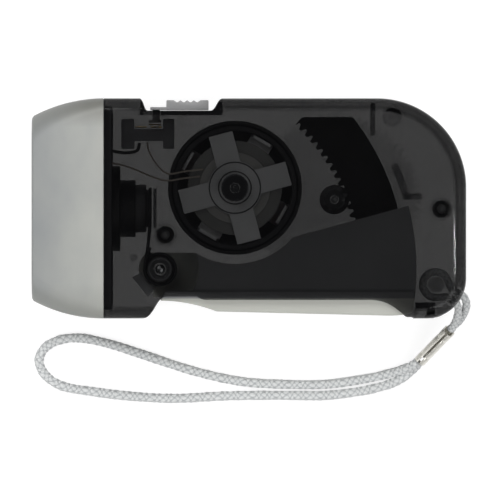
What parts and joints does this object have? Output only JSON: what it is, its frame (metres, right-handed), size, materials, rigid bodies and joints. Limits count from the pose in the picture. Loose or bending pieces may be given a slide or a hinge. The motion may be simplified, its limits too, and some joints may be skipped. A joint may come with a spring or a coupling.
{
  "type": "squeeze dynamo torch",
  "caption": "Flat smoked-clear torch with a frosted head, a squeeze lever in its lower edge that spins a generator through gears, a slide switch and a wrist strap.",
  "frame": {"origin": "middle of the rear face, on which the torch lies", "axes": "+X from the lamp head to the tail, +Y towards the edge with the switch, +Z out of the front shell"},
  "size_m": [0.1062, 0.074, 0.03],
  "materials": {
    "smoked_clear": "smoked see-through, polished",
    "frosted_silver": "frosted silver grey, satin",
    "water_clear": "clear, polished",
    "mirror_coat": "vacuum coated",
    "led_clear": "clear, polished",
    "board_green": "solder mask green",
    "black_plastic": "moulded black",
    "light_grey_plastic": "moulded light grey",
    "bright_steel": "plain bright steel",
    "contact_brass": "plain brass",
    "natural_nylon": "moulded, undyed",
    "magnet_black": "dark grey ferrite",
    "winding_copper": "enamelled copper",
    "lead_black": "black insulation",
    "cord_grey": "braided pale grey cord"
  },
  "bodies": {
    "case": {"front_shell": "smoked_clear", "rear_shell": "smoked_clear", "shell_screw_front": "bright_steel", "shell_screw_tail": "bright_steel", "head_bezel": "frosted_silver", "lens": "water_clear", "reflector": "mirror_coat", "led_1": "led_clear", "led_2": "led_clear", "led_3": "led_clear", "led_board": "board_green", "lamp_carrier": "black_plastic", "button_cell_1": "bright_steel", "button_cell_2": "bright_steel", "cell_contact": "bright_steel", "switch_base": "black_plastic", "switch_contact_1": "contact_brass", "switch_contact_2": "contact_brass", "torsion_spring": "bright_steel", "pivot_pin": "bright_steel", "gear_pin": "bright_steel", "rotor_axle": "bright_steel", "front_claw_plate": "bright_steel", "rear_claw_plate": "bright_steel", "coil_bobbin": "natural_nylon", "coil_winding": "winding_copper", "lamp_lead": "lead_black", "coil_lead_1": "winding_copper", "coil_lead_2": "winding_copper", "strap_loop": "cord_grey", "strap_eye": "cord_grey", "strap_crimp": "bright_steel"},
    "lever_arm": {"lever": "light_grey_plastic", "sector_gear": "black_plastic", "sector_screw_1": "bright_steel", "sector_screw_2": "bright_steel"},
    "gear_shaft": {"large_wheel": "water_clear", "drive_pinion": "water_clear"},
    "rotor": {"rotor_cup": "black_plastic", "ring_magnet": "magnet_black", "rotor_pinion": "contact_brass"},
    "switch_slider": {"switch_knob": "light_grey_plastic", "switch_wiper": "contact_brass"},
    "lock_slider": {"lever_lock": "black_plastic"}
  },
  "joints": [
    {"name": "rotor_spin", "type": "hinge", "parent": "case", "child": "rotor", "pos_m": [-0.00339, 0.00499, 0], "axis": [0, 0, 1], "range_deg": [0, 2322]},
    {"name": "gear_spin", "type": "hinge", "parent": "case", "child": "gear_shaft", "pos_m": [0.02075, 0.0022, 0], "axis": [0, 0, 1], "range_deg": [-444, 0]},
    {"name": "lever_squeeze", "type": "hinge", "parent": "case", "child": "lever_arm", "pos_m": [-0.0215, -0.0147, 0], "axis": [0, 0, 1], "range_deg": [-24, 0], "deforming": ["torsion_spring"]},
    {"name": "switch_slide", "type": "slide", "parent": "case", "child": "switch_slider", "axis": [-1, 0, 0], "range_m": [0, 0.002]},
    {"name": "lock_slide", "type": "slide", "parent": "case", "child": "lock_slider", "axis": [-1, 0, 0], "range_m": [0, 0.0019]}
  ],
  "couplings": [
    {"joint": "gear_spin", "follows": "rotor_spin", "ratio": -0.19118},
    {"joint": "lever_squeeze", "follows": "rotor_spin", "ratio": -0.010334}
  ]
}
